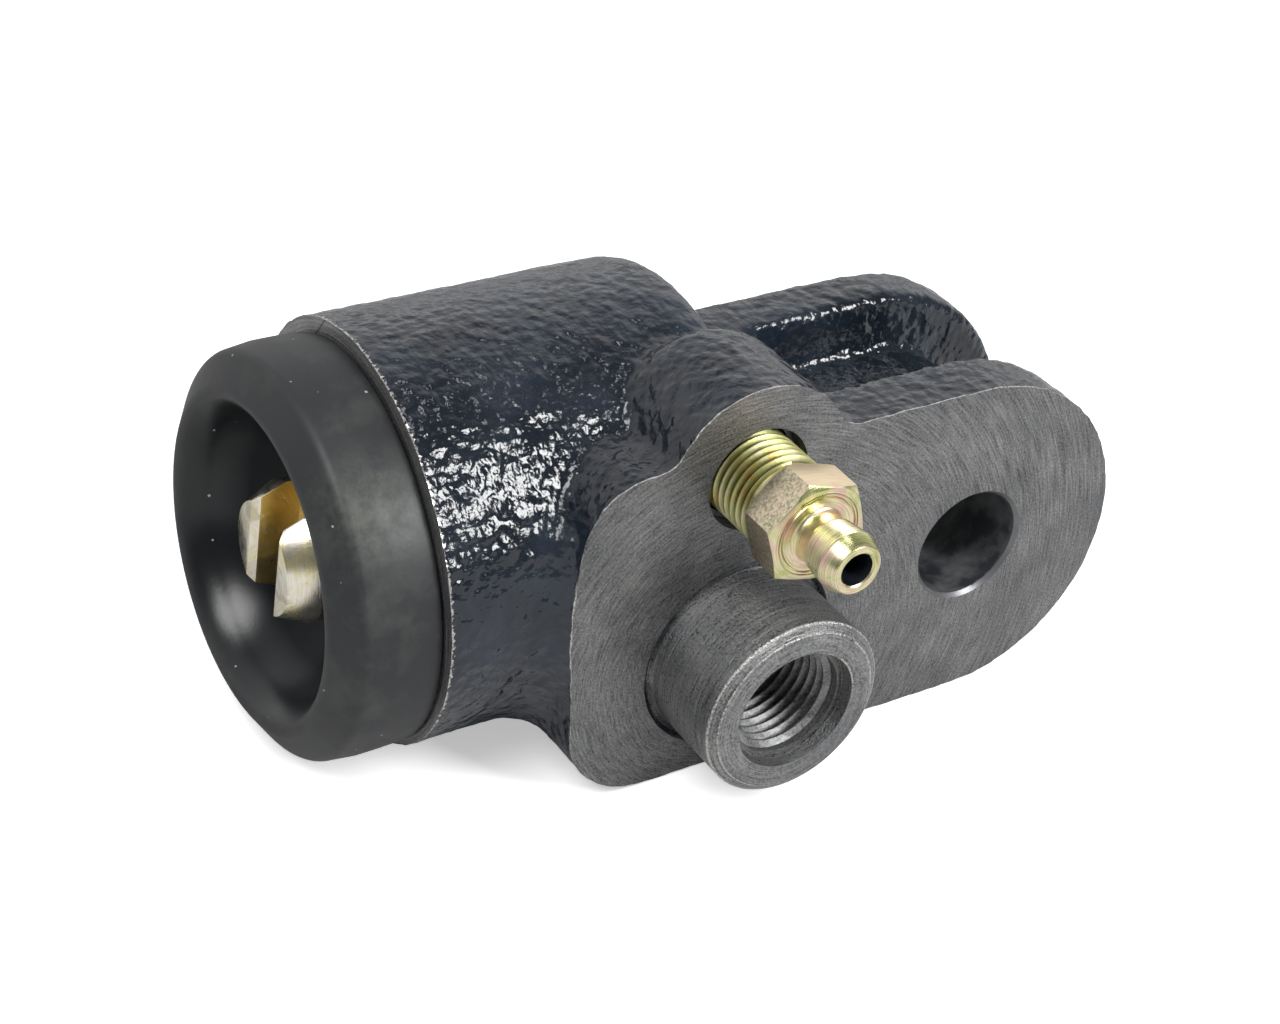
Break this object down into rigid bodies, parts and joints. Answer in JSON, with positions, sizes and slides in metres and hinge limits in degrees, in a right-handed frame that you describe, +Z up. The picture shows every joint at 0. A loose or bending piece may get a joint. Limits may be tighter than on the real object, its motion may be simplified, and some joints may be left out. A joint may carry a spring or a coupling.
{
  "type": "wheel cylinder",
  "caption": "Cast drum brake wheel cylinder with a single piston in a rubber boot, a threaded inlet boss, a bleed screw and a bolted mounting lug.",
  "frame": {"origin": "on the machined mounting face, midway between the inlet and the bolt hole along the bore and level with the bore's axis", "axes": "+X along the bore from the boot to the lug's tip, -Y out of the mounting face towards the back plate, +Z up, on the bleed screw's side"},
  "size_m": [0.0904, 0.0629, 0.0447],
  "materials": {
    "black_painted_cast_iron": "gloss black paint over a sand-cast skin, bare where machined",
    "black_rubber": "moulded satin rubber",
    "seal_rubber": "smooth rubber",
    "yellow_zinc_plated_steel": "turned steel with yellow passivated zinc"
  },
  "bodies": {
    "cylinder": {"cylinder_body": "black_painted_cast_iron", "dust_boot": "black_rubber"},
    "seal": {"piston_seal": "seal_rubber"},
    "piston": {"piston": "yellow_zinc_plated_steel"},
    "bleeder": {"bleed_screw": "yellow_zinc_plated_steel"}
  },
  "joints": [
    {"name": "piston_slide", "type": "slide", "parent": "cylinder", "child": "seal", "axis": [-1, 0, 0], "range_m": [0, 0.006]},
    {"name": "piston_turn", "type": "hinge", "parent": "seal", "child": "piston", "pos_m": [-0.0358, 0.024, 0], "axis": [1, 0, 0], "continuous": true},
    {"name": "bleed_screw_turn", "type": "hinge", "parent": "cylinder", "child": "bleeder", "pos_m": [-0.01425, 0, 0.0126], "axis": [0, -1, 0], "range_deg": [0, 360]}
  ]
}
